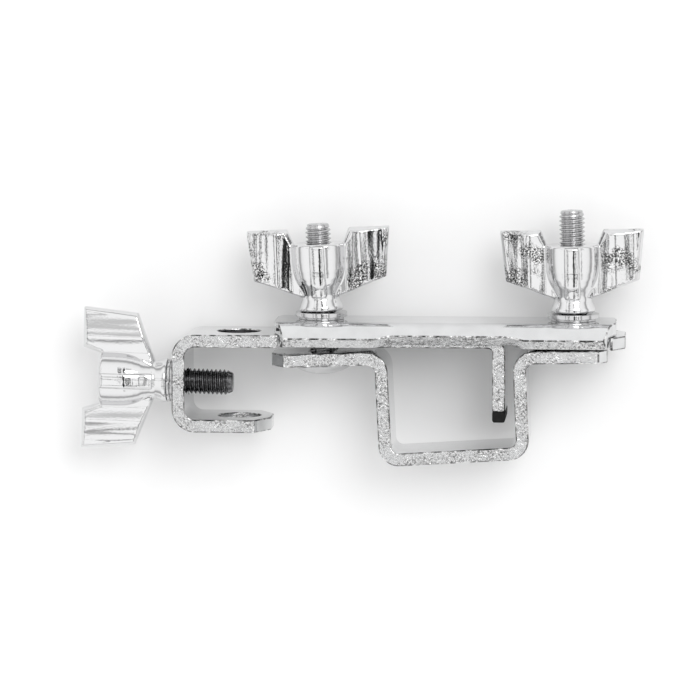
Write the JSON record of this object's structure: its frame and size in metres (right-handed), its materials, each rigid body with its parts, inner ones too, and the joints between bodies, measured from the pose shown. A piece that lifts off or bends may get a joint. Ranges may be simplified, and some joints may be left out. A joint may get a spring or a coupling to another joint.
{
  "type": "percussion mounting clamp",
  "caption": "Bent steel clamp: a hooked bracket takes a round rod gripped by a wing screw, and a saddle and hat-shaped strap drawn together by wing nuts grip a block.",
  "frame": {"origin": "centre of the rod hole on the lower ear's outer face", "axes": "+Y along the rod's axis from the lower ear towards the wing nuts; +X along the clamp from the rod to the strap; +Z square to the clamp's broad side, up when it lies on a table as it is pictured"},
  "size_m": [0.1316, 0.0591, 0.0264],
  "materials": {
    "chrome_strip": "bright plated, slightly uneven",
    "chrome_casting": "bright plated, smooth",
    "bolt_steel": "zinc plated, half bright",
    "black_steel": "black oxide, semi gloss",
    "cap_rubber": "matt"
  },
  "bodies": {
    "bracket": {"rod_bracket": "chrome_strip", "hook_cap": "cap_rubber"},
    "screw_washers": {"screw_washer": "chrome_strip", "screw_lock_ring": "bolt_steel"},
    "wing_screw": {"wing_screw_head": "chrome_casting", "wing_screw_stud": "black_steel"},
    "saddle": {"saddle_plate": "chrome_strip", "spacer_plate": "chrome_strip", "washer_left": "chrome_strip", "washer_right": "chrome_strip", "lock_ring_left": "bolt_steel", "lock_ring_right": "bolt_steel"},
    "strap": {"strap": "chrome_strip", "bolt_left": "bolt_steel", "bolt_right": "bolt_steel"},
    "wing_nut_left": {"wing_nut_left": "chrome_casting"},
    "wing_nut_right": {"wing_nut_right": "chrome_casting"}
  },
  "joints": [
    {"name": "screw_travel", "type": "slide", "parent": "bracket", "child": "screw_washers", "axis": [-0.9996, 0.0297, 0], "range_m": [0, 0.009]},
    {"name": "screw_turn", "type": "hinge", "parent": "screw_washers", "child": "wing_screw", "pos_m": [-0.0148, 0.01105, 0], "axis": [-0.9996, 0.0297, 0], "range_deg": [0, 3240]},
    {"name": "saddle_slide", "type": "slide", "parent": "bracket", "child": "saddle", "axis": [1, 0, 0], "range_m": [0, 0.015]},
    {"name": "strap_drop", "type": "slide", "parent": "saddle", "child": "strap", "axis": [0.0332, -0.9995, 0], "range_m": [0, 0.004]},
    {"name": "nut_left_turn", "type": "hinge", "parent": "saddle", "child": "wing_nut_left", "pos_m": [0.01935, 0.0278, 0], "axis": [-0.0454, 0.999, 0], "range_deg": [0, 1440]},
    {"name": "nut_right_turn", "type": "hinge", "parent": "saddle", "child": "wing_nut_right", "pos_m": [0.078, 0.0278, 0], "axis": [-0.0209, 0.9998, 0], "range_deg": [0, 1440]}
  ],
  "couplings": [
    {"joint": "screw_travel", "follows": "screw_turn", "m_per_rad": 0.00015915},
    {"joint": "strap_drop", "follows": "nut_left_turn", "m_per_rad": 0.00015915},
    {"joint": "nut_right_turn", "follows": "nut_left_turn", "ratio": 1}
  ]
}
